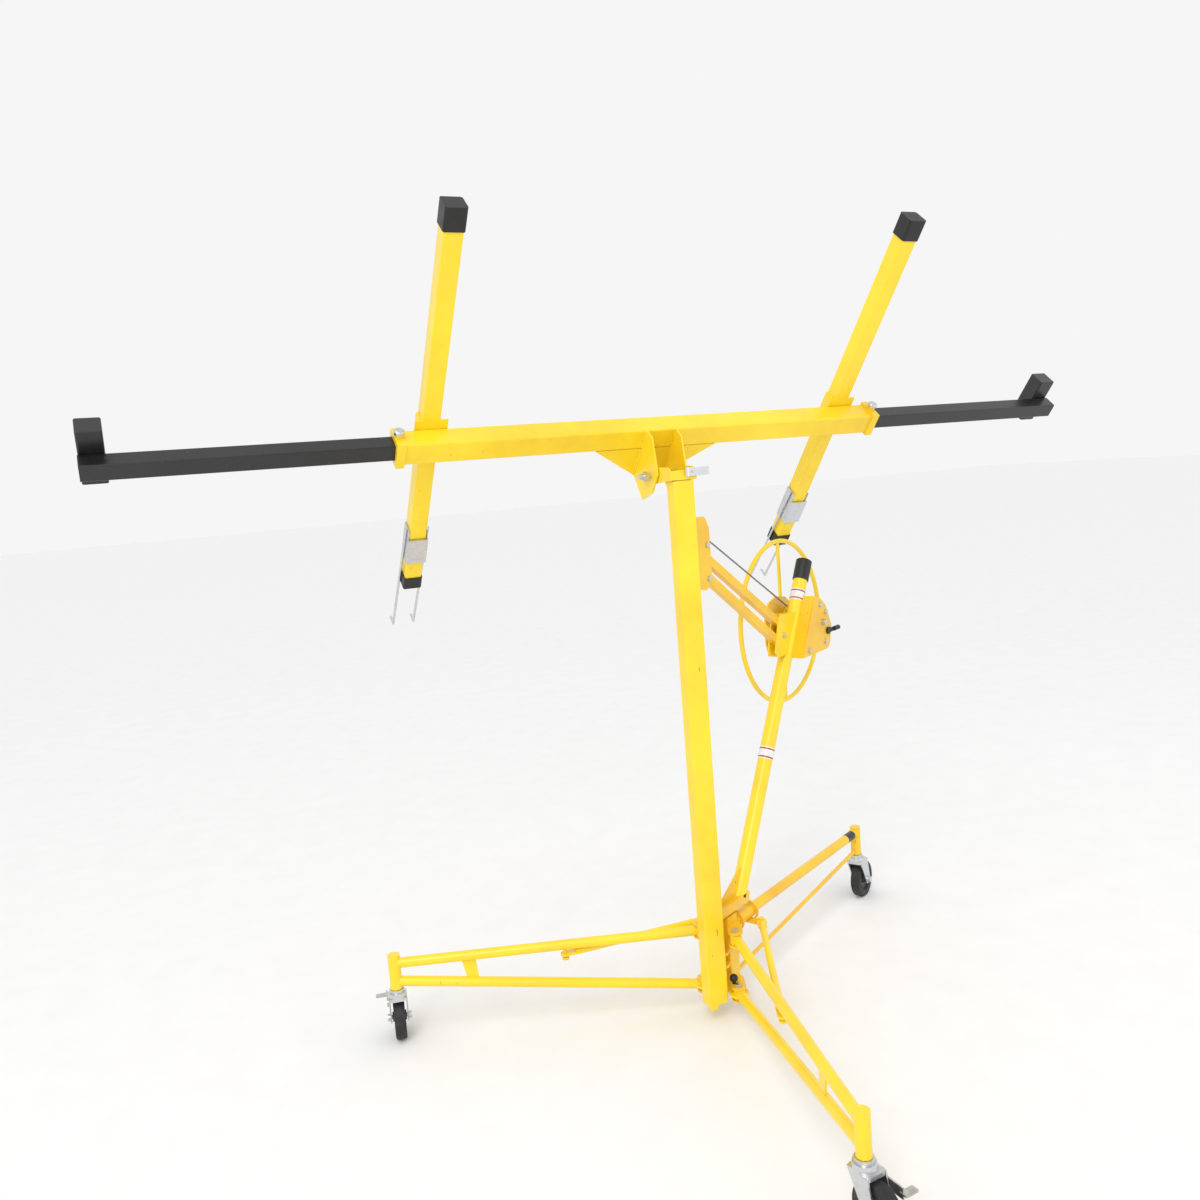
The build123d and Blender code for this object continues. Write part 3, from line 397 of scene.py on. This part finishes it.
# coil on the tilt bolt
lo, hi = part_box("tilt_spring")
turns, wire, coil_r = 8.0, 0.00165, 0.0082
pts = []
x0, x1 = lo.x + wire, hi.x - wire
mid = (lo + hi) / 2
N = 320
for i in range(N + 1):
    t = i / N
    e = min(1.0, max(0.0, (t - 0.09) / 0.82))
    pts.append(Vector((x0 + (x1 - x0) * e, mid.y + coil_r * math.cos(2 * math.pi * turns * t), mid.z + coil_r * math.sin(2 * math.pi * turns * t))))
coil = tube("tilt_spring_coil", pts, [wire] * len(pts), SPRING, 10)
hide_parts("tilt_spring")
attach(coil, "inner_mast")

# bands on the winch post and at the rear leg's end
foot = base(0, -0.001, 0.246)
ld = (base(0, 0.423, 0.997) - foot).normalized()
plen = (base(0, 0.423, 0.997) - foot).length


def post(s):
    return foot + ld * s


for tag, s in (("low", plen * 0.385), ("high", plen * 0.868)):
    sleeve("post_band_" + tag, post(s), post(s + 0.030), 0.01802, 0.0004, LABEL, "base")
    sleeve("post_rule_%s_a" % tag, post(s + 0.003), post(s + 0.0065), 0.0184, 0.0002, RULE, "base")
    sleeve("post_rule_%s_b" % tag, post(s + 0.0235), post(s + 0.027), 0.0184, 0.0002, RULE, "base")

# the rear leg carries its black band in its own paint, so the collar can slide over it
# its yellow uses the darker painted-shade colours, standing in for the shadow on the leg
rear = paint("powder_coat_rear_leg", (0.92, 0.60, 0.012), (0.88, 0.53, 0.009), (0.78, 0.43, 0.006), (0.46, 0.26, 0.03))
rt = rear.node_tree
geo = rt.nodes.new("ShaderNodeTexCoord")
dot = rt.nodes.new("ShaderNodeVectorMath")
dot.operation = "DOT_PRODUCT"
dot.inputs[1].default_value = bv
rt.links.new(geo.outputs["Object"], dot.inputs[0])
along = base(0, 0, 0).dot(bv)
band = rt.nodes.new("ShaderNodeValToRGB")
span = rt.nodes.new("ShaderNodeMapRange")
span.inputs["From Min"].default_value = along + 0.50
span.inputs["From Max"].default_value = along + 0.70
rt.links.new(dot.outputs["Value"], span.inputs["Value"])
band.color_ramp.interpolation = "CONSTANT"
el = band.color_ramp.elements
el[0].position, el[0].color = 0.0, (0, 0, 0, 1)
el[1].position, el[1].color = 0.36, (1, 1, 1, 1)
e3 = el.new(0.57)
e3.color = (0, 0, 0, 1)
rt.links.new(span.outputs["Result"], band.inputs["Fac"])
bsdf = rt.nodes["Principled BSDF"]
was = bsdf.inputs["Base Color"].links[0].from_socket
swap = rt.nodes.new("ShaderNodeMix")
swap.data_type = "RGBA"
rt.links.new(band.outputs["Color"], swap.inputs[0])
rt.links.new(was, swap.inputs[6])
swap.inputs[7].default_value = (0.008, 0.008, 0.009, 1)
rt.links.new(swap.outputs[2], bsdf.inputs["Base Color"])
nodes["rear_leg_tube"].data.materials[0] = rear

# the run of cable inside the mast, remade as a rope tube on the base
lo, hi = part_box("cable_drop")
mid = (lo + hi) / 2
count = 160
rope_pts = [Vector((mid.x, mid.y, lo.z + (hi.z - lo.z) * i / count)) for i in range(count + 1)]
rope = tube("cable_drop_rope", rope_pts, [(hi.x - lo.x) / 2 * (0.97 + 0.03 * math.sin(i * 2.1)) for i in range(count + 1)], CABLE, 12)
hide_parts("cable_drop")
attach(rope, "base")
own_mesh(rope)

# weld beads
# the rear socket weld takes the painted-shade yellow, like the parts around it
weld_ring("weld_rear_socket", base(0, 0.624, 0.195), bv, 0.0128, 0.0016, "base", YELLOW_PAINTED_SHADE)
for x in (-0.038, 0.038):
    weld_line("weld_yoke_side_%s" % ("a" if x < 0 else "b"), cr(x, 0.024, 0.0254), cr(x, -0.024, 0.0254), 0.0017, "cradle")
for x0_, x1_, k in ((-0.144, -0.044, "a"), (0.044, 0.144, "b")):
    weld_line("weld_gusset_" + k, cr(x0_, -0.0256, 0.0208), cr(x1_, -0.0256, 0.0208), 0.0016, "cradle")
for x in (-0.0342, 0.0342):
    weld_line("weld_yoke_gusset_%s" % ("a" if x < 0 else "b"), cr(x * 1.13, -0.030, 0.0252), cr(x * 1.13, -0.094, 0.0252), 0.0016, "cradle")
for s in (-1, 1):
    k = "left" if s < 0 else "right"
    weld_line("weld_guide_top_" + k, cr(s * 0.575, 0.0252, -0.022), cr(s * 0.575, 0.0252, 0.022), 0.0014, "cradle")
    weld_line("weld_guide_front_" + k, cr(s * 0.575, -0.022, 0.0252), cr(s * 0.575, 0.022, 0.0252), 0.0014, "cradle")
    for e in (-1, 1):
        weld_line("weld_arm_%s_%s" % (k, "low" if e < 0 else "high"),
                  cr(s * 0.510 + e * 0.0195, -0.018, -0.0254), cr(s * 0.510 + e * 0.0195, 0.018, -0.0254), 0.0014, "cradle")

# ---------------------------------------------------------------- floor, light, camera
bpy.ops.mesh.primitive_plane_add(size=80, location=(0, 0, 0))
floor = bpy.context.object
floor.name = "floor"
fm = Mat("studio_floor")
floor.data.materials.append(fm.set(Base_Color=fm.ramp(fm.noise(9, 4, 0.55), [(0.3, (0.845, 0.845, 0.845)), (0.7, (0.87, 0.87, 0.87))]), Roughness=0.85, Specular_IOR_Level=0.1))

world = bpy.data.worlds.new("studio")
bpy.context.scene.world = world
world.use_nodes = True
world.node_tree.nodes["Background"].inputs["Color"].default_value = (1.0, 1.0, 1.0, 1)
world.node_tree.nodes["Background"].inputs["Strength"].default_value = 0.92


def area(name, at, to, size, power, color=(1, 1, 1)):
    d = bpy.data.lights.new(name, "AREA")
    d.shape = "RECTANGLE"
    d.size, d.size_y = size
    d.energy, d.color = power, color
    o = bpy.data.objects.new(name, d)
    bpy.context.scene.collection.objects.link(o)
    o.location = at
    o.rotation_mode = "QUATERNION"
    o.rotation_quaternion = (Vector(to) - Vector(at)).to_track_quat("-Z", "Y")
    return o


area("key", (-2.6, -3.0, 3.2), (0, 0, 1.0), (1.6, 1.6), 52, (1.0, 0.985, 0.96))
area("fill", (3.0, -2.4, 1.6), (0, 0, 0.9), (2.0, 2.0), 12, (0.96, 0.98, 1.0))
sun = bpy.data.lights.new("window", "SUN")
sun.energy = 0.45
sun.angle = math.radians(24)
sun_o = bpy.data.objects.new("window", sun)
bpy.context.scene.collection.objects.link(sun_o)
sun_o.rotation_mode = "QUATERNION"
sun_o.rotation_quaternion = Vector((0.45, 0.55, -1.0)).to_track_quat("-Z", "Y")

cam = bpy.data.cameras.new("camera")
cam.sensor_width = 36.0
cam.lens = 31.82
camera = bpy.data.objects.new("camera", cam)
bpy.context.scene.collection.objects.link(camera)
fwd = Vector((0.401, 0.908, -0.120)).normalized()
right = Vector((0.908, -0.411, -0.078))
right = (right - fwd * right.dot(fwd)).normalized()
up = right.cross(fwd).normalized()
m4 = Matrix((right, up, -fwd)).transposed().to_4x4()
m4.translation = Vector((-1.1068 + MX, -2.0300 + MY, 1.2657))
camera.matrix_world = m4
cam.clip_start, cam.clip_end = 0.02, 100
bpy.context.scene.camera = camera
bpy.context.scene.view_settings.view_transform = "Standard"

bpy.context.view_layer.update()
